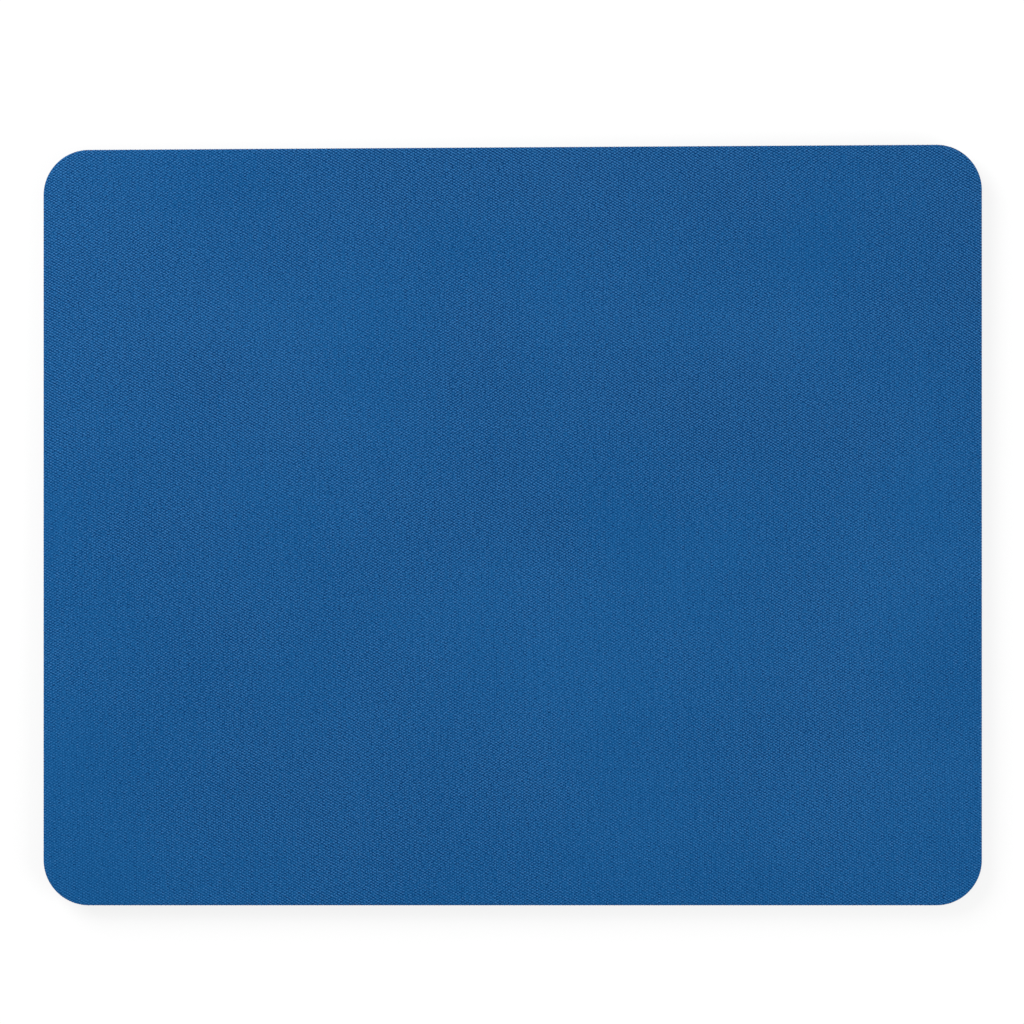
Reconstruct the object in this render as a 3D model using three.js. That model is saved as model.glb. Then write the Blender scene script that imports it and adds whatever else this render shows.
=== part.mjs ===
// Cloth-faced mouse pad: a flat laminate with rounded corners, cut from sheet by one die.
// Units are millimetres. +X runs along the long side, +Y towards the far edge, +Z up.
// The origin is on the desk, under the middle of the pad.

import * as THREE from 'three';

// Outline, seen from above
const padWidth = 235;
const padDepth = 190.5;
const cornerRadius = 11.4;
const farEdgeSkew = 1.43; // the far edge is cut askew: the left side is this much shorter

// Layers, from the desk up
const gripThickness = 0.5;
const foamThickness = 3.7;
const filmThickness = 0.1;
const clothThickness = 0.6;
const bondGap = 0.02; // bond line between two layers

// Rim, pressed down by the die before it cut through
const rimWidth = 0.8;
const rimDrop = 0.2;

// Cut face: it leans in towards the desk, the foam draws in at half its height, and the film draws back
const cutLean = 0.15;
const foamWaist = 0.25;
const filmSetback = 0.12;

// Facets
const arcSteps = 10; // each corner arc has twice as many
const rimSteps = 4;
const wallSteps = 6;

// Heights of the layers' flat undersides
const gripUnder = 0;
const foamUnder = gripUnder + gripThickness + bondGap;
const filmUnder = foamUnder + foamThickness + bondGap;
const clothUnder = filmUnder + filmThickness + bondGap;

// Corner arcs, counter-clockwise from the near left. Each turns from the outward direction of the
// side before it to that of the side after it.
const farSlope = farEdgeSkew / padWidth;
const farAngle = Math.PI / 2 + Math.atan(farSlope);
const left = cornerRadius - padWidth / 2;
const right = padWidth / 2 - cornerRadius;
const near = cornerRadius - padDepth / 2;
const farRight = padDepth / 2 - cornerRadius;
const farLeft = farRight - farSlope * (right - left);
const corners = [
  { x: left, y: near, from: Math.PI, to: Math.PI * 1.5 },
  { x: right, y: near, from: Math.PI * 1.5, to: Math.PI * 2 },
  { x: right, y: farRight, from: 0, to: farAngle },
  { x: left, y: farLeft, from: farAngle, to: Math.PI },
];

// The pad's outline, set in from the cloth's cut edge by a distance
function outline(inset) {
  const shape = new THREE.Shape();
  for (const corner of corners) {
    shape.absarc(corner.x, corner.y, cornerRadius - inset, corner.from, corner.to, false);
  }
  return shape.getPoints(arcSteps);
}

// How far the rim is pressed down at a distance in from the cut edge
function rimSink(inset) {
  return rimDrop * (1 - inset / rimWidth) ** 2;
}

// A face that is flat inside the rim and pressed down along it, from the rim's inner line out to its edge
function pressedFace(height, setback) {
  const profile = [];
  for (let step = 0; step <= rimSteps; step += 1) {
    const inset = rimWidth + (setback - rimWidth) * (step / rimSteps);
    profile.push({ inset, height: height - rimSink(inset) });
  }
  return profile;
}

// A layer between two pressed faces, set back from the cut edge
function pressedProfile(under, thickness, setback) {
  return [...pressedFace(under, setback), ...pressedFace(under + thickness, setback).reverse()];
}

// The foam stands on a flat underside, and its cut face is drawn in between its two edges
function foamProfile() {
  const top = foamUnder + foamThickness;
  const wallHeight = foamThickness - rimDrop;
  const profile = [];
  for (let step = 0; step < wallSteps; step += 1) {
    const share = step / wallSteps;
    profile.push({
      inset: cutLean * (1 - share) + foamWaist * Math.sin(Math.PI * share),
      height: foamUnder + wallHeight * share,
    });
  }
  return [...profile, ...pressedFace(top, 0).reverse()];
}

// The grip skin is flat on both faces
function gripProfile() {
  return [
    { inset: cutLean, height: gripUnder },
    { inset: cutLean, height: gripUnder + gripThickness },
  ];
}

// A closed solid with this profile all round the outline, capped flat inside its first and last lines.
// The profile runs from the underside, out to the cut face, up it and in over the top.
function layerGeometry(profile) {
  const rings = profile.map(({ inset }) => outline(inset));
  const ringSize = rings[0].length;
  const positions = rings.flatMap((ring, level) => {
    const { height } = profile[level];
    return ring.flatMap(({ x, y }) => [x, y, height]);
  });

  const triangles = [];
  for (let level = 0; level < rings.length - 1; level += 1) {
    for (let point = 0; point < ringSize; point += 1) {
      const here = level * ringSize + point;
      const beside = level * ringSize + ((point + 1) % ringSize);
      triangles.push(here, beside, beside + ringSize);
      triangles.push(here, beside + ringSize, here + ringSize);
    }
  }
  const lastRing = (rings.length - 1) * ringSize;
  for (const [a, b, c] of THREE.ShapeUtils.triangulateShape(rings[0], [])) {
    triangles.push(c, b, a);
  }
  for (const [a, b, c] of THREE.ShapeUtils.triangulateShape(rings[rings.length - 1], [])) {
    triangles.push(a + lastRing, b + lastRing, c + lastRing);
  }

  const geometry = new THREE.BufferGeometry();
  geometry.setAttribute('position', new THREE.Float32BufferAttribute(positions, 3));
  geometry.setIndex(triangles);
  geometry.computeVertexNormals();
  return geometry;
}

// Materials
const gripRubber = new THREE.MeshStandardMaterial({ color: 0x1b1b1c, roughness: 0.7, metalness: 0 });
const foamRubber = new THREE.MeshStandardMaterial({ color: 0x242425, roughness: 0.95, metalness: 0 });
const bondFilm = new THREE.MeshStandardMaterial({ color: 0x95948f, roughness: 0.5, metalness: 0 });
const faceCloth = new THREE.MeshStandardMaterial({ color: 0x1e578f, roughness: 0.9, metalness: 0 });

function layer(name, profile, material) {
  const mesh = new THREE.Mesh(layerGeometry(profile), material);
  mesh.name = name;
  return mesh;
}

const mousePad = new THREE.Group();
mousePad.add(
  layer('grip_base', gripProfile(), gripRubber),
  layer('foam_core', foamProfile(), foamRubber),
  layer('adhesive_film', pressedProfile(filmUnder, filmThickness, filmSetback), bondFilm),
  layer('cloth_top', pressedProfile(clothUnder, clothThickness, 0), faceCloth),
);

export default mousePad;
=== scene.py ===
# Mouse pad: a woven face cloth on foam rubber, with an embossed grip skin underneath.
import math

import bpy
import numpy as np
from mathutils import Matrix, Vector, noise
from mathutils.geometry import delaunay_2d_cdt


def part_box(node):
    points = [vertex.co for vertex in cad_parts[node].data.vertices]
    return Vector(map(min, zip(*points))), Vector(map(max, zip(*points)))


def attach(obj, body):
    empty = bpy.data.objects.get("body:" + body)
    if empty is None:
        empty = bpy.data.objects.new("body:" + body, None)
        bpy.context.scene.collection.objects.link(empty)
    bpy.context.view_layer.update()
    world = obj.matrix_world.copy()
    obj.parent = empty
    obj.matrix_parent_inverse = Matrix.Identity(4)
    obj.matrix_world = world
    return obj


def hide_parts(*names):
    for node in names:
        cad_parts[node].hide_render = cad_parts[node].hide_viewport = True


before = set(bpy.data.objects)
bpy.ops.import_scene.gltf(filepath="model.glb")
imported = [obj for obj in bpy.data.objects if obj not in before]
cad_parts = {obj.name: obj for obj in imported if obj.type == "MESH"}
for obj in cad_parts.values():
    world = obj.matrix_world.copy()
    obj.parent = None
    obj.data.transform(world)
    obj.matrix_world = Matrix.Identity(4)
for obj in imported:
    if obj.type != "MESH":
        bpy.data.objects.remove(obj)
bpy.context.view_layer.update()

MM = 0.001

# Layers, as they lie in the frame
CLOTH_LOW, CLOTH_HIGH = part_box("cloth_top")
FOAM_LOW, FOAM_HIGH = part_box("foam_core")
GRIP_LOW, GRIP_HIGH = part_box("grip_base")

# Outline of the cut, seen from above
CORNER_RADIUS = 11.4 * MM
FAR_EDGE_SKEW = 1.43 * MM  # the left side is this much shorter than the right
ARC_POINTS = 200  # that a corner arc is measured by

# Rim, pressed down by the die before it cut through
RIM_WIDTH = 0.8 * MM
RIM_DROP = 0.2 * MM

# Cut face: it leans in towards the desk, and the foam draws in at half its height
CUT_LEAN = 0.15 * MM
FOAM_WAIST = 0.25 * MM

# Weave of the face cloth: warp yarns run away from the user, weft yarns run across
WARP_PITCH = 0.585 * MM
WEFT_PITCH = 0.3525 * MM
WARP_TILT = 0.0094  # sideways run of a warp yarn for its length
WEFT_RISE = 0.0405  # rise of a weft yarn to the right for its length, at the middle of the pad
WEFT_BOW = 0.06  # how that rise eases off to the right, for each metre
WANDER_WAVES = 20  # in a metre, of the slowest wander
WANDER_STRETCH = 0.46  # waves along the warp for each wave across it
WANDER_DETAIL = 5.0  # quicker wanders, each twice as quick as the last
WANDER_ROUGHNESS = 0.7  # and each this share as wide
WARP_WANDER = 3.0  # in yarns
WEFT_WANDER = 4.3

# Floats of the weft over the warp
FLOAT_LEAN = 0.18  # that a float slants across its row for each warp yarn, in yarns
LEAN_SPREAD = 1.0  # that the lean varies by from patch to patch
FLOAT_SHIFT_ACROSS = 0.15  # that the floats lie unlike, across the row, in yarns
FLOAT_SHIFT_ALONG = 0.35  # and along it
FLOAT_TONE = 0.1  # that the floats differ by in tone
FLOAT_EDGE = 5  # how sharply a float parts from the warp
CROWN_BLEND = 0.2  # how softly one yarn's crown runs into the next
WEAVE_RELIEF = 0.12 * MM

# Tones of the yarns, from shade to light: at the edge of a crown, painted dark as the shade between
# yarns, and the painted light that its middle adds
# The warp, lying low between the floats, is darker by its own dye and by painted shade
WEFT_SHADE_AND_CROWN_LIGHT = (0.3, 0.8)
WARP_SHADE_AND_CROWN_LIGHT = (-0.15, 0.35)
FILAMENT_TONE = 0.5  # that the filaments of a yarn differ by
FILAMENTS = 7  # across a yarn
GRAIN_TONE = 1.4  # of a fine grain over all yarns
GRAIN = (2.0, 1.4)  # its waves for each warp yarn and weft yarn
COLUMN_PAINTED_SHADE = 0.11  # painted light and shade across a warp yarn, paler on one side and darker on the other
COLUMN_LIT_SIDE = 0.27  # where that painted light is palest, in yarns from its middle

# Contrast of those tones around their mean, and drift of the whole across the cloth
MEAN_TONE = 0.42
WEAVE_CONTRAST = 0.84
RAKING_LIGHT_RISE = 3.0  # painted crown light and shade, and the relief, grow by this for each metre away from the user, towards the key lamp
FLOAT_CONTRAST = 2.5  # that it varies by from float to float
FLOAT_GRAIN = (0.5, 1.0)  # waves for each warp yarn and weft yarn
PATCH_CONTRAST = 2.4  # and from patch to patch
LEAST_CONTRAST = 0.4
PATCH_TONE = 0.2  # that patches differ by in tone
PATCHES = 16  # in a metre
PATCH_DETAIL = 2.0  # finer patches, each half as large as the last
WARP_SPREAD = 0.02  # that warp yarns differ by in tone
WEFT_SPREAD = 0.024  # and weft yarns
BAND_TONE = 0.045  # of slow bands along the weft
BANDS = (0.004, 0.02)  # their waves for each warp yarn and weft yarn
BETWEEN_YARNS = 0.5  # a number that no yarn has

# Colours of the cloth, from shade to light, and its finish
CLOTH_SHADE = (0, 55, 111)
CLOTH_BODY = (23, 94, 153)
CLOTH_LIGHT = (59, 124, 187)
CLOTH_SHEEN = (60, 140, 220)
SHEEN_WEIGHT = 0.05
SHEEN_ROUGHNESS = 0.5
WARP_ROUGHNESS = 0.8
WEFT_ROUGHNESS = 0.6
CLOTH_SPECULAR = 0.04

# Cut yarn ends, in shares of the yarn pitch and of the cloth's thickness
YARN_HALF_WIDTH = 0.5
YARN_HALF_HEIGHT = 0.34
YARN_CRIMP = 0.16
END_RECESS = 0.09 * MM  # from the yarn ends back to the gaps between them

# Foam rubber: cells and clouds in a metre, colours from shade to light
FOAM_CELLS = 3200
FOAM_CELL_DEPTH = 0.06 * MM
FOAM_CLOUDS = 160
FOAM_CLOUD_DETAIL = 3.0
FOAM_TONE = 1.1  # at the middle of a cell
FOAM_CLOUD_TONE = 0.6
FOAM_SHADE = (24, 24, 25)
FOAM_LIGHT = (44, 44, 45)
FOAM_ROUGHNESS = 0.92
FOAM_CLOUD_ROUGHNESS = 0.1
FOAM_SPECULAR = 0.3

# Grip rubber: grains and clouds in a metre, colours from shade to light
GRIP_GRAINS = 3500
GRIP_GRAIN_DETAIL = 2.0
GRIP_GRAIN_DEPTH = 0.03 * MM
GRIP_GRAIN_TONE = 0.5
GRIP_CLOUDS = 60
GRIP_CLOUD_DETAIL = 4.0
GRIP_SHADE = (22, 22, 23)
GRIP_LIGHT = (33, 33, 34)
GRIP_ROUGHNESS = 0.62
GRIP_CLOUD_ROUGHNESS = 0.25
GRIP_GRAIN_ROUGHNESS = 0.1
GRIP_SPECULAR = 0.4

# Bond film: clouds in a metre, colours from shade to light
FILM_CLOUDS = 900
FILM_CLOUD_DETAIL = 3.0
FILM_CLOUD_DEPTH = 0.02 * MM
FILM_SHADE = (136, 135, 130)
FILM_LIGHT = (160, 159, 154)
FILM_ROUGHNESS = 0.5
FILM_CLOUD_ROUGHNESS = 0.2

# Foam pores and grip pits
PORE_SIZE = 0.6 * MM
PORE_DEPTH = 0.08 * MM
PORE_SLOPE = 3  # how quickly a pore deepens away from its wall
PIT_PITCH = 3.0 * MM
PIT_OPENING = 2.2 * MM
PIT_FLOOR = 1.7 * MM
PIT_DEPTH = 0.15 * MM
PIT_LIP = 0.05 * MM  # that the pit cutter reaches out below the skin

# Points round a ring. Each finer count is the coarse one, doubled a few times.
COARSE_POINTS = 288
CLOTH_POINTS = COARSE_POINTS * 32
FOAM_POINTS = COARSE_POINTS * 16
GRIP_POINTS = COARSE_POINTS * 4
RIM_RINGS = (0.12, 0.3, 0.6, 1.0, 2.0, 4.0)  # insets from the edge, in rim widths
CLOTH_WALL_RINGS = 7
FOAM_WALL_RINGS = 13
FOAM_UNDER_RINGS = ((4, 16), (2, 8), (1, 4), (0.5, 2))  # insets in rim widths, and steps between points
FILL_SPACING = 6 * MM  # between the points inside a flat face
FILL_TOLERANCE = 1e-7
INSIDE_ONLY = 1  # kind of fill that stays within its ring

# Angles past which edges stay sharp, in degrees
CLOTH_SHARP = 50
FOAM_SHARP = 60
GRIP_SHARP = 20

# Map that the cloth is baked on, in shares of its size: the edge strip, the underside strip, the face
MAP_MARGIN = 0.002
MAP_STRIP = 0.008
MAP_UNDERSIDE = 0.014
MAP_FACE = 0.03

# View of the photograph: straight down, with its frame measured on the cloth
FRAME_SPAN = 256.23 * MM
FRAME_CENTRE = (-0.18 * MM, 3.26 * MM)
LENS = 100
SENSOR = 36

# Sockets of the Mix node that take and give colours
MIX_DARK = 6
MIX_LIGHT = 7
MIX_RESULT = 2

# Lamps, seen from the middle of the pad
KEY_TOWARDS = (-0.55, 0.52, 0.55)
KEY_DISTANCE = 0.94
FILL_TOWARDS = (0.73, -0.27, 0.55)
FILL_DISTANCE = 0.95
LAMP_SIZE = 0.6

# Light, in shares of the level at which a colour shows as it is written
WORLD_LEVEL = 0.36
KEY_LEVEL = 0.46
FILL_LEVEL = 0.24
WHITE = (1, 1, 1, 1)
FLOOR_GLOW = 0.74  # the rest of the floor's white comes from the lamps and holds the shadow
FLOOR_GLOW_LEVEL = 1.04  # makes up for the lamps' fall-off towards the picture's corners
SHADOW_REACH = (0.2, 0.5)  # from the middle of the pad: the floor's own glow takes over between these
FLOOR_SIZE = 8.0
FLOOR_DROP = 0.05 * MM


# Outline, rings and meshes


def corner_arcs():
    """Centre and turn of each corner arc, counter-clockwise from the near left"""
    left = CLOTH_LOW.x + CORNER_RADIUS
    right = CLOTH_HIGH.x - CORNER_RADIUS
    near = CLOTH_LOW.y + CORNER_RADIUS
    far_right = CLOTH_HIGH.y - CORNER_RADIUS
    far_slope = FAR_EDGE_SKEW / (CLOTH_HIGH.x - CLOTH_LOW.x)
    far_left = far_right - far_slope * (right - left)
    far_turn = 2.5 * math.pi + math.atan(far_slope)
    return [
        ((left, near), math.pi, 1.5 * math.pi),
        ((right, near), 1.5 * math.pi, 2 * math.pi),
        ((right, far_right), 2 * math.pi, far_turn),
        ((left, far_left), far_turn, 3 * math.pi),
    ]


def directions(angles):
    return np.column_stack((np.cos(angles), np.sin(angles)))


def outline(count):
    """Evenly spaced points round the cut edge, counter-clockwise, and their outward directions"""
    arcs = corner_arcs()
    turns = [np.linspace(start, end, ARC_POINTS) for _, start, end in arcs]
    centres = [np.tile(centre, (ARC_POINTS, 1)) for centre, _, _ in arcs]
    angles = np.append(np.concatenate(turns), turns[0][0] + 2 * math.pi)
    corners = np.concatenate(centres + [centres[0][:1]])
    edge = corners + CORNER_RADIUS * directions(angles)
    run = np.append(0, np.cumsum(np.linalg.norm(np.diff(edge, axis=0), axis=1)))
    places = np.linspace(0, run[-1], count, endpoint=False)
    points = np.column_stack([np.interp(places, run, edge[:, axis]) for axis in (0, 1)])
    return points, directions(np.interp(places, run, angles))


def ring(edge, outward, inset, height, step=1):
    """Every step-th point of the edge, drawn in by an inset and set at a height"""
    points = (edge - np.reshape(inset, (-1, 1)) * outward)[::step]
    return np.column_stack((points, np.full(len(points), height)))


def pressed_rings(edge, outward, height):
    """Rings from just inside the edge in over the pressed rim to the flat, each coarser than the last"""
    rings = []
    coarsest = len(edge) // COARSE_POINTS
    for number, rims in enumerate(RIM_RINGS, start=1):
        sink = RIM_DROP * max(0, 1 - rims) ** 2
        step = min(2**number, coarsest)
        rings.append(ring(edge, outward, rims * RIM_WIDTH, height - sink, step))
    return rings


def strip(inner, outer):
    """Faces between two rings of vertex numbers, one of which may have half as many as the other"""
    after_inner = np.roll(inner, -1)
    after_outer = np.roll(outer, -1)
    if len(inner) == len(outer):
        return np.column_stack((inner, after_inner, after_outer, outer)).tolist()
    if len(inner) > len(outer):
        even, odd, after = inner[::2], inner[1::2], np.roll(inner[::2], -1)
        corners = [(even, odd, outer), (odd, after, after_outer), (odd, after_outer, outer)]
    else:
        even, odd, after = outer[::2], outer[1::2], np.roll(outer[::2], -1)
        corners = [(inner, odd, even), (inner, after_inner, odd), (after_inner, after, odd)]
    return [face for three in corners for face in np.column_stack(three).tolist()]


def flat_fill(edge):
    """Grid points inside a flat ring, and triangles over the ring's points and these"""
    height = edge[0, 2]
    low = edge[:, :2].min(axis=0) + FILL_SPACING
    high = edge[:, :2].max(axis=0) - FILL_SPACING
    counts = np.ceil((high - low) / FILL_SPACING).astype(int)
    across, along = (np.linspace(low[axis], high[axis], counts[axis]) for axis in (0, 1))
    inside = np.array([(x, y, height) for y in along for x in across])
    flat = [Vector(point[:2]) for point in np.concatenate((edge, inside))]
    bounds = [(number, (number + 1) % len(edge)) for number in range(len(edge))]
    _, _, faces, origins, _, _ = delaunay_2d_cdt(flat, bounds, [], INSIDE_ONLY, FILL_TOLERANCE)
    return inside, [[origins[corner][0] for corner in face] for face in faces]


class Loft:
    """A closed skin over rings that run from the underside out, up the cut face and in over the top"""

    def __init__(self, rings):
        inner_under, under_faces = flat_fill(rings[0])
        inner_top, top_faces = flat_fill(rings[-1])
        self.points = np.concatenate([*rings, inner_under, inner_top])
        ends = np.cumsum([len(each) for each in rings])
        numbers = [np.arange(end - len(each), end) for each, end in zip(rings, ends)]
        self.faces = []
        for inner, outer in zip(numbers, numbers[1:]):
            self.faces += strip(inner, outer)
        under = np.append(numbers[0], ends[-1] + np.arange(len(inner_under)))
        top = np.append(numbers[-1], ends[-1] + len(inner_under) + np.arange(len(inner_top)))
        self.faces += [under[face[::-1]].tolist() for face in under_faces]
        self.faces += [top[face].tolist() for face in top_faces]
        last = len(rings) - 1
        sizes = [len(each) for each in (*rings, inner_under, inner_top)]
        self.level = np.repeat([*range(len(rings)), 0, last], sizes)
        turns = [np.arange(len(each)) / len(each) for each in rings]
        self.turn = np.concatenate([*turns, np.zeros(len(inner_under) + len(inner_top))])


def make_piece(name, points, faces, material, sharp):
    """An object that rides on the pad, smooth but for edges past the sharp angle in degrees"""
    mesh = bpy.data.meshes.new(name)
    mesh.from_pydata(points, [], faces)
    mesh.materials.append(material)
    piece = bpy.data.objects.new(name, mesh)
    bpy.context.scene.collection.objects.link(piece)
    smooth_but_sharp(mesh, sharp)
    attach(piece, "root")
    return piece


def smooth_but_sharp(mesh, sharp):
    mesh.shade_smooth()
    mesh.set_sharp_from_angle(angle=math.radians(sharp))


# Materials


class Wire:
    """A number inside a material: arithmetic on wires lays Math nodes"""

    def __init__(self, socket):
        self.socket = socket

    def math(self, operation, *others):
        node = self.socket.id_data.nodes.new("ShaderNodeMath")
        node.operation = operation
        for entry, value in zip(node.inputs, (self, *others)):
            feed(entry, value)
        return Wire(node.outputs[0])

    def __add__(self, other):
        return self.math("ADD", other)

    def __sub__(self, other):
        return self.math("SUBTRACT", other)

    def __mul__(self, other):
        return self.math("MULTIPLY", other)

    def __truediv__(self, other):
        return self.math("DIVIDE", other)

    def __rsub__(self, other):
        return self * -1 + other

    __radd__ = __add__
    __rmul__ = __mul__

    def clamped(self):
        return self.math("MAXIMUM", 0).math("MINIMUM", 1)


def feed(entry, value):
    """Links a wire to a node's input, or sets the input to a plain value"""
    if isinstance(value, Wire):
        entry.id_data.links.new(value.socket, entry)
    else:
        entry.default_value = value


class Shader:
    """A node material, or the world's, while its nodes are laid"""

    def __init__(self, owner):
        owner.use_nodes = True
        self.tree = owner.node_tree
        self.owner = owner

    def node(self, kind, inputs=(), **settings):
        node = self.tree.nodes.new("ShaderNode" + kind)
        for setting, value in settings.items():
            setattr(node, setting, value)
        for entry, value in dict(inputs).items():
            feed(node.inputs[entry], value)
        return node

    def finish(self, **inputs):
        """Sets inputs of the Principled surface, named with underscores in place of spaces"""
        surface = self.tree.nodes["Principled BSDF"]
        for name, value in inputs.items():
            entry = next(entry for entry in surface.inputs if entry.name == name.replace("_", " "))
            feed(entry, value)
        return self.owner

    def place(self):
        """Where the shaded point is in the frame, in metres"""
        return Wire(self.node("TexCoord").outputs["Object"])

    def split(self, vector):
        return [Wire(axis) for axis in self.node("SeparateXYZ", {"Vector": vector}).outputs]

    def join(self, x, y, z=0.0):
        return Wire(self.node("CombineXYZ", {"X": x, "Y": y, "Z": z}).outputs["Vector"])

    def noises(self, place, scale, detail=0.0, roughness=0.5):
        """Three unlike smooth noises, each around zero"""
        inputs = {"Vector": place, "Scale": scale, "Detail": detail, "Roughness": roughness}
        colour = Wire(self.node("TexNoise", inputs).outputs["Color"])
        return [each - 0.5 for each in self.split(colour)]

    def chances(self, x, y):
        """Three numbers around zero, up to a half, that are the same wherever both given numbers are"""
        node = self.node("TexWhiteNoise", {"Vector": self.join(x, y)}, noise_dimensions="2D")
        return [each - 0.5 for each in self.split(Wire(node.outputs["Color"]))]

    def blend(self, share, dark, light):
        """Two screen colours, as a share goes from zero to one"""
        node = self.node("Mix", {"Factor": share}, data_type="RGBA", clamp_factor=True)
        node.inputs[MIX_DARK].default_value = colour(*dark)
        node.inputs[MIX_LIGHT].default_value = colour(*light)
        return Wire(node.outputs[MIX_RESULT])

    def ramp(self, share, dark, middle, light):
        """Three screen colours, as a share goes from zero over a half to one"""
        node = self.node("ValToRGB", {"Fac": share})
        stops = node.color_ramp.elements
        stops[0].color = colour(*dark)
        stops[1].color = colour(*light)
        stops.new(0.5).color = colour(*middle)
        return Wire(node.outputs["Color"])

    def bump(self, height, depth):
        node = self.node("Bump", {"Height": height, "Distance": depth})
        return Wire(node.outputs["Normal"])


def colour(red, green, blue):
    """A linear colour from 8-bit screen values"""
    screen = np.array((red, green, blue)) / 255
    linear = np.where(screen <= 0.04045, screen / 12.92, ((screen + 0.055) / 1.055) ** 2.4)
    return (*linear.tolist(), 1.0)


def weave_place(x, y):
    """Warp and weft numbers of a place on the cloth, where a whole number is the middle of a yarn"""
    warp = (x + WARP_TILT * y) / WARP_PITCH
    weft = (y - WEFT_RISE * x + WEFT_BOW * x * x) / WEFT_PITCH
    return warp, weft


def wandering_weave(shader, place):
    """Warp and weft numbers of the shaded place, with yarns that wander"""
    x, y, _ = shader.split(place)
    warp, weft = weave_place(x, y)
    stretched = shader.join(x, y * WANDER_STRETCH)
    drift = shader.noises(stretched, WANDER_WAVES, WANDER_DETAIL, WANDER_ROUGHNESS)
    return warp + WARP_WANDER * drift[0], weft + WEFT_WANDER * drift[1]


def crown_heights(shader, warp, weft, lean):
    """Heights of the weft, floating over every other warp yarn, and the warp, and a chance per float"""
    column = warp.math("ROUND")
    row = weft.math("ROUND")
    float_number = ((warp - row) * 0.5).math("ROUND")
    chance = shader.chances(float_number, row)
    along = warp - row - float_number * 2
    off_row = weft - row + lean * along + FLOAT_SHIFT_ACROSS * chance[0]
    off_column = warp - column
    weft_crimp = ((along + FLOAT_SHIFT_ALONG * chance[1]) * math.pi).math("COSINE")
    warp_crimp = ((weft - column) * math.pi).math("COSINE") * -1
    weft_height = 0.5 * weft_crimp + 0.5 - 2 * off_row * off_row
    warp_height = 0.5 * warp_crimp + 0.5 - 2 * off_column * off_column
    return weft_height, warp_height, chance[2]


def yarn_noises(shader, warp, weft, waves):
    """Three unlike noises, with so many waves for each warp yarn and weft yarn"""
    return shader.noises(shader.join(warp * waves[0], weft * waves[1]), 1.0)


def yarn_tones_and_crown_shade(shader, warp, weft, weft_height, warp_height):
    """Tones of the weft and the warp, each with painted light on its crown and painted shade at its
    edges, with filaments along the yarn
    """
    weft_filaments = yarn_noises(shader, warp, weft, (1, FILAMENTS))[0]
    warp_filaments = yarn_noises(shader, warp, weft, (FILAMENTS, 1))[1]
    # Painted shade at the edge of each crown, painted light over its middle
    weft_tone_and_shade = WEFT_SHADE_AND_CROWN_LIGHT[0] + WEFT_SHADE_AND_CROWN_LIGHT[1] * weft_height + FILAMENT_TONE * weft_filaments
    warp_tone_and_shade = WARP_SHADE_AND_CROWN_LIGHT[0] + WARP_SHADE_AND_CROWN_LIGHT[1] * warp_height + FILAMENT_TONE * warp_filaments
    return weft_tone_and_shade, warp_tone_and_shade


def weave_contrast(shader, place, warp, weft, patch):
    """How far the tones stand from their mean: more away from the user, towards the key lamp, as stronger
    painted light and shade, and unlike by float and patch
    """
    _, away, _ = shader.split(place)
    by_float = FLOAT_CONTRAST * yarn_noises(shader, warp, weft, FLOAT_GRAIN)[0]
    # Painted light: the crowns' painted light and shade grow stronger towards the key lamp's side
    contrast = WEAVE_CONTRAST + RAKING_LIGHT_RISE * away + by_float + PATCH_CONTRAST * patch
    return contrast.math("MAXIMUM", LEAST_CONTRAST)


def dye_drift(shader, warp, weft, patch):
    """What the dye adds to the tone from yarn to yarn, in slow bands, and from patch to patch"""
    by_column = WARP_SPREAD * shader.chances(warp.math("ROUND"), BETWEEN_YARNS)[0]
    by_row = WEFT_SPREAD * shader.chances(BETWEEN_YARNS, weft.math("ROUND"))[1]
    bands = BAND_TONE * yarn_noises(shader, warp, weft, BANDS)[1]
    return by_column + by_row + bands + PATCH_TONE * patch


def cloth_material():
    """Plain weave of matte blue yarns: pale weft floats over darker warp, no two floats quite alike, with
    painted shade between the yarns and painted light on their crowns
    """
    shader = Shader(bpy.data.materials.new("face_cloth"))
    place = shader.place()
    warp, weft = wandering_weave(shader, place)
    patches = shader.noises(place, PATCHES, PATCH_DETAIL)
    lean = FLOAT_LEAN + LEAN_SPREAD * patches[2]
    weft_height, warp_height, chance = crown_heights(shader, warp, weft, lean)
    float_share = ((weft_height - warp_height) * FLOAT_EDGE + 0.5).clamped()
    height = weft_height.math("SMOOTH_MAX", warp_height, CROWN_BLEND)

    # The yarns' tones hold painted light on the crowns and painted shade between them
    weft_tone_and_shade, warp_tone_and_shade = yarn_tones_and_crown_shade(shader, warp, weft, weft_height, warp_height)
    weft_tone_and_shade = weft_tone_and_shade + FLOAT_TONE * chance
    # Painted light and shade: each warp yarn paler on its lit side and darker on its shaded side
    painted_side_shade = ((warp - COLUMN_LIT_SIDE) * (2 * math.pi)).math("COSINE")
    grain = yarn_noises(shader, warp, weft, GRAIN)[2]
    tone = warp_tone_and_shade + float_share * (weft_tone_and_shade - warp_tone_and_shade) + COLUMN_PAINTED_SHADE * painted_side_shade + GRAIN_TONE * grain
    contrast = weave_contrast(shader, place, warp, weft, patches[1])
    drift = dye_drift(shader, warp, weft, patches[0])
    tone = MEAN_TONE + contrast * (tone - MEAN_TONE) + drift

    return shader.finish(
        Base_Color=shader.ramp(tone, CLOTH_SHADE, CLOTH_BODY, CLOTH_LIGHT),
        Roughness=WARP_ROUGHNESS + float_share * (WEFT_ROUGHNESS - WARP_ROUGHNESS),
        Normal=shader.bump(height * contrast, WEAVE_RELIEF),
        Specular_IOR_Level=CLOTH_SPECULAR,
        Sheen_Weight=SHEEN_WEIGHT,
        Sheen_Roughness=SHEEN_ROUGHNESS,
        Sheen_Tint=colour(*CLOTH_SHEEN),
    )


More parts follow.
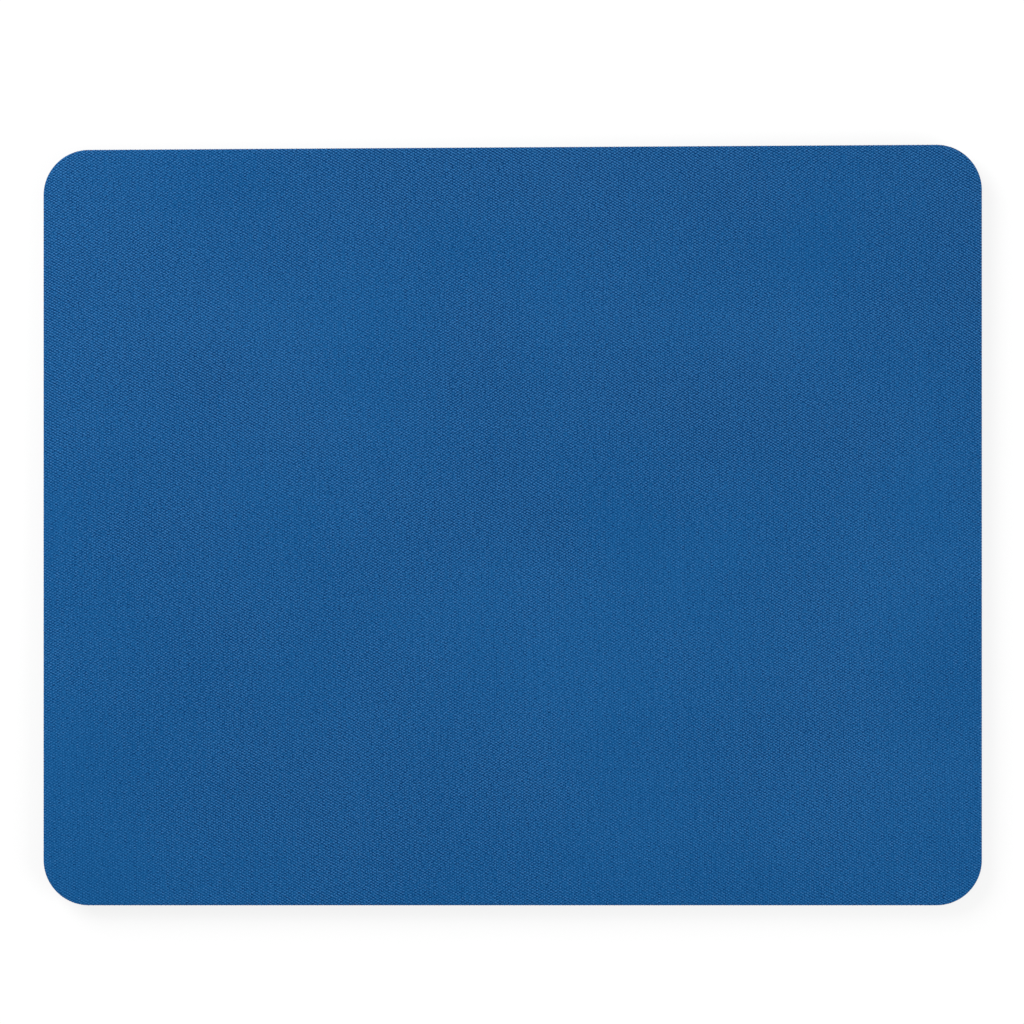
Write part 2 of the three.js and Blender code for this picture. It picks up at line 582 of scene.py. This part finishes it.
def foam_material():
    """Black foam rubber, cut through its cells"""
    shader = Shader(bpy.data.materials.new("foam_rubber"))
    place = shader.place()
    cells = shader.node("TexVoronoi", {"Vector": place, "Scale": FOAM_CELLS}, feature="F1")
    depth = Wire(cells.outputs["Distance"])
    cloud = shader.noises(place, FOAM_CLOUDS, FOAM_CLOUD_DETAIL)
    tone = (FOAM_TONE - depth + FOAM_CLOUD_TONE * cloud[0]).clamped()
    return shader.finish(
        Base_Color=shader.blend(tone, FOAM_SHADE, FOAM_LIGHT),
        Roughness=FOAM_ROUGHNESS + FOAM_CLOUD_ROUGHNESS * cloud[1],
        Normal=shader.bump(depth, FOAM_CELL_DEPTH),
        Specular_IOR_Level=FOAM_SPECULAR,
    )


def grip_material():
    """Dense black rubber with a satin moulded skin"""
    shader = Shader(bpy.data.materials.new("grip_rubber"))
    place = shader.place()
    grain = shader.noises(place, GRIP_GRAINS, GRIP_GRAIN_DETAIL)
    cloud = shader.noises(place, GRIP_CLOUDS, GRIP_CLOUD_DETAIL)
    tone = (0.5 + cloud[0] + GRIP_GRAIN_TONE * grain[0]).clamped()
    return shader.finish(
        Base_Color=shader.blend(tone, GRIP_SHADE, GRIP_LIGHT),
        Roughness=GRIP_ROUGHNESS + GRIP_CLOUD_ROUGHNESS * cloud[1] + GRIP_GRAIN_ROUGHNESS * grain[1],
        Normal=shader.bump(grain[2], GRIP_GRAIN_DEPTH),
        Specular_IOR_Level=GRIP_SPECULAR,
    )


def film_material():
    """Milky hot-melt film"""
    shader = Shader(bpy.data.materials.new("bond_film"))
    cloud = shader.noises(shader.place(), FILM_CLOUDS, FILM_CLOUD_DETAIL)
    tone = (0.5 + cloud[0]).clamped()
    return shader.finish(
        Base_Color=shader.blend(tone, FILM_SHADE, FILM_LIGHT),
        Roughness=FILM_ROUGHNESS + FILM_CLOUD_ROUGHNESS * cloud[1],
        Normal=shader.bump(cloud[2], FILM_CLOUD_DEPTH),
    )


# Pieces


def yarn_recess(edge, outward, share):
    """How far the cut edge lies behind the domed yarn ends, at a share of the cloth's thickness"""
    warp, weft = weave_place(edge[:, 0], edge[:, 1])
    column = np.round(warp)
    row = np.round(weft)
    weft_middle = 0.5 + YARN_CRIMP * np.cos(np.pi * (warp - row))
    warp_middle = 0.5 - YARN_CRIMP * np.cos(np.pi * (weft - column))
    from_weft = np.hypot((weft - row) / YARN_HALF_WIDTH, (share - weft_middle) / YARN_HALF_HEIGHT)
    from_warp = np.hypot((warp - column) / YARN_HALF_WIDTH, (share - warp_middle) / YARN_HALF_HEIGHT)
    weft_share = outward[:, 0] ** 2
    away = weft_share * from_weft + (1 - weft_share) * from_warp
    return END_RECESS * np.minimum(away, 1) ** 2


def add_bake_map(mesh, skin, wall_start, wall_end):
    """Lays the cloth out flat: its face fills the map, the cut edge and underside take strips"""
    corners = np.empty(len(mesh.loops), np.int32)
    starts = np.empty(len(mesh.polygons), np.int32)
    sizes = np.empty(len(mesh.polygons), np.int32)
    mesh.loops.foreach_get("vertex_index", corners)
    mesh.polygons.foreach_get("loop_start", starts)
    mesh.polygons.foreach_get("loop_total", sizes)
    level = skin.level[corners]
    turn = skin.turn[corners]
    lowest = np.repeat(np.minimum.reduceat(level, starts), sizes)
    highest = np.repeat(np.maximum.reduceat(level, starts), sizes)
    widest = np.repeat(np.maximum.reduceat(turn, starts) - np.minimum.reduceat(turn, starts), sizes)
    # The face that closes a ring ends at a full turn
    turn = np.where((widest > 0.5) & (turn == 0), 1.0, turn)
    low = np.array(CLOTH_LOW[:2])
    size = np.array(CLOTH_HIGH[:2]) - low
    across, up = ((skin.points[corners, :2] - low) / size).T
    climb = (level - wall_start) / (wall_end - wall_start)
    on_wall = (lowest >= wall_start) & (highest <= wall_end)
    on_face = lowest >= wall_end
    places = np.column_stack((np.where(on_wall, turn, across), MAP_UNDERSIDE + MAP_STRIP * up))
    places[on_wall, 1] = MAP_MARGIN + MAP_STRIP * climb[on_wall]
    places[on_face, 1] = MAP_FACE + (1 - MAP_MARGIN - MAP_FACE) * up[on_face]
    places[:, 0] = MAP_MARGIN + (1 - 2 * MAP_MARGIN) * places[:, 0]
    mesh.uv_layers.new(name="OFBake").data.foreach_set("uv", places.ravel())


def make_face_cloth():
    """Woven cloth, pressed down along its rim and cut square through its yarns"""
    edge, outward = outline(CLOTH_POINTS)
    wall = []
    for share in np.linspace(0, 1, CLOTH_WALL_RINGS):
        height = CLOTH_LOW.z + share * (CLOTH_HIGH.z - RIM_DROP - CLOTH_LOW.z)
        wall.append(ring(edge, outward, yarn_recess(edge, outward, share), height))
    under = pressed_rings(edge, outward, CLOTH_LOW.z + RIM_DROP)[::-1]
    top = pressed_rings(edge, outward, CLOTH_HIGH.z)
    skin = Loft([*under, *wall, *top])
    piece = make_piece("face_cloth", skin.points, skin.faces, cloth_material(), CLOTH_SHARP)
    add_bake_map(piece.data, skin, len(under), len(under) + len(wall) - 1)
    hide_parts("cloth_top")


def pore_recess(points):
    """How far the cut foam lies back in the cells that the cut went through"""
    recess = []
    for point in points:
        nearest, second = noise.voronoi(Vector(point) / PORE_SIZE)[0][:2]
        recess.append(PORE_DEPTH * min(1, PORE_SLOPE * (second - nearest)))
    return np.array(recess)


def make_foam_sheet():
    """Foam rubber sheet with a drawn-in cut face, open at its pores"""
    edge, outward = outline(FOAM_POINTS)
    wall = []
    for share in np.linspace(0, 1, FOAM_WALL_RINGS):
        height = FOAM_LOW.z + share * (FOAM_HIGH.z - RIM_DROP - FOAM_LOW.z)
        inset = CUT_LEAN * (1 - share) + FOAM_WAIST * math.sin(math.pi * share)
        face = ring(edge, outward, inset, height)
        wall.append(ring(edge, outward, inset + pore_recess(face), height))
    under = []
    for rims, step in FOAM_UNDER_RINGS:
        under.append(ring(edge, outward, CUT_LEAN + rims * RIM_WIDTH, FOAM_LOW.z, step))
    top = pressed_rings(edge, outward, FOAM_HIGH.z)
    skin = Loft([*under, *wall, *top])
    piece = make_piece("foam_sheet", skin.points, skin.faces, foam_material(), FOAM_SHARP)
    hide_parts("foam_core")


def pit_cutter():
    """Tapered square pits in rows, as one mesh that reaches past the skin's edges"""
    slope = (PIT_OPENING - PIT_FLOOR) / PIT_DEPTH
    mouth = PIT_OPENING + slope * PIT_LIP
    square = np.array([(-0.5, -0.5), (0.5, -0.5), (0.5, 0.5), (-0.5, 0.5)])
    bottom = np.column_stack((square * mouth, np.full(4, GRIP_LOW.z - PIT_LIP)))
    roof = np.column_stack((square * PIT_FLOOR, np.full(4, GRIP_LOW.z + PIT_DEPTH)))
    pit = np.concatenate((bottom, roof))
    sides = [(side, (side + 1) % 4, (side + 1) % 4 + 4, side + 4) for side in range(4)]
    pit_faces = [(3, 2, 1, 0), (4, 5, 6, 7), *sides]
    columns, rows = (math.ceil(reach / PIT_PITCH) for reach in GRIP_HIGH[:2])
    points, faces = [], []
    for row in range(-rows, rows + 1):
        for column in range(-columns, columns + 1):
            faces += [tuple(corner + len(points) for corner in face) for face in pit_faces]
            points += (pit + (column * PIT_PITCH, row * PIT_PITCH, 0)).tolist()
    mesh = bpy.data.meshes.new("pit_cutter")
    mesh.from_pydata(points, [], faces)
    cutter = bpy.data.objects.new("pit_cutter", mesh)
    bpy.context.scene.collection.objects.link(cutter)
    return cutter


def carve(piece, cutter):
    """Cuts the cutter's shape out of a piece and removes the cutter"""
    cut = piece.modifiers.new("carve", "BOOLEAN")
    cut.operation = "DIFFERENCE"
    cut.solver = "MANIFOLD"
    cut.object = cutter
    shown = piece.evaluated_get(bpy.context.evaluated_depsgraph_get())
    carved = bpy.data.meshes.new_from_object(shown)
    piece.modifiers.clear()
    piece.data = carved
    bpy.data.objects.remove(cutter)


def make_grip_skin():
    """Rubber skin with a waffle of shallow pits pressed into its underside"""
    edge, outward = outline(GRIP_POINTS)
    heights = (GRIP_LOW.z, GRIP_HIGH.z)
    skin = Loft([ring(edge, outward, CUT_LEAN, height) for height in heights])
    piece = make_piece("grip_skin", skin.points, skin.faces, grip_material(), GRIP_SHARP)
    carve(piece, pit_cutter())
    smooth_but_sharp(piece.data, GRIP_SHARP)
    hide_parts("grip_base")


def dress_film():
    """The bond film keeps its solid, with a finish of its own"""
    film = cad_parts["adhesive_film"]
    film.data.materials.clear()
    film.data.materials.append(film_material())


# Camera, light and floor


def make_camera():
    data = bpy.data.cameras.new("camera")
    data.lens = LENS
    data.sensor_width = SENSOR
    camera = bpy.data.objects.new("camera", data)
    camera.location = (*FRAME_CENTRE, CLOTH_HIGH.z + FRAME_SPAN * LENS / SENSOR)
    bpy.context.scene.collection.objects.link(camera)
    bpy.context.scene.camera = camera


def make_lamp(name, towards, distance, level):
    """A soft square lamp that lights the middle of the pad by a share of the full level"""
    direction = Vector(towards).normalized()
    data = bpy.data.lights.new(name, "AREA")
    data.size = LAMP_SIZE
    data.energy = level * (math.pi * distance) ** 2 / direction.z
    lamp = bpy.data.objects.new(name, data)
    lamp.location = direction * distance
    lamp.rotation_euler = direction.to_track_quat("Z", "Y").to_euler()
    bpy.context.scene.collection.objects.link(lamp)


def shown_white(shader):
    """One for rays that show the white itself, straight, in a mirror or through glass, else zero"""
    path = shader.node("LightPath").outputs
    shown = Wire(path["Is Camera Ray"]) + Wire(path["Is Glossy Ray"]) + Wire(path["Is Transmission Ray"])
    return shown.clamped()


def make_world():
    world = bpy.data.worlds.new("world")
    bpy.context.scene.world = world
    shader = Shader(world)
    background = shader.tree.nodes["Background"]
    background.inputs["Color"].default_value = WHITE
    feed(background.inputs["Strength"], WORLD_LEVEL + (1 - WORLD_LEVEL) * shown_white(shader))


def make_floor():
    shader = Shader(bpy.data.materials.new("floor"))
    white = shader.node("BsdfDiffuse", {"Color": WHITE})
    glow = shader.node("Emission", {"Color": WHITE, "Strength": FLOOR_GLOW_LEVEL})
    x, y, _ = shader.split(shader.place())
    near, far = SHADOW_REACH
    beyond = (((x * x + y * y).math("SQRT") - near) / (far - near)).clamped()
    glow_share = FLOOR_GLOW + (1 - FLOOR_GLOW) * beyond
    mix = shader.node("MixShader", {"Fac": shown_white(shader) * glow_share})
    shader.tree.links.new(white.outputs[0], mix.inputs[1])
    shader.tree.links.new(glow.outputs[0], mix.inputs[2])
    shader.tree.links.new(mix.outputs[0], shader.tree.nodes["Material Output"].inputs["Surface"])
    half = FLOOR_SIZE / 2
    height = GRIP_LOW.z - FLOOR_DROP
    corners = [(-half, -half, height), (half, -half, height), (half, half, height), (-half, half, height)]
    mesh = bpy.data.meshes.new("floor")
    mesh.from_pydata(corners, [], [(0, 1, 2, 3)])
    mesh.materials.append(shader.owner)
    floor = bpy.data.objects.new("floor", mesh)
    bpy.context.scene.collection.objects.link(floor)


make_camera()
make_face_cloth()
dress_film()
make_foam_sheet()
make_grip_skin()
make_lamp("key", KEY_TOWARDS, KEY_DISTANCE, KEY_LEVEL)
make_lamp("fill", FILL_TOWARDS, FILL_DISTANCE, FILL_LEVEL)
make_world()
make_floor()
bpy.context.scene.view_settings.view_transform = "Standard"
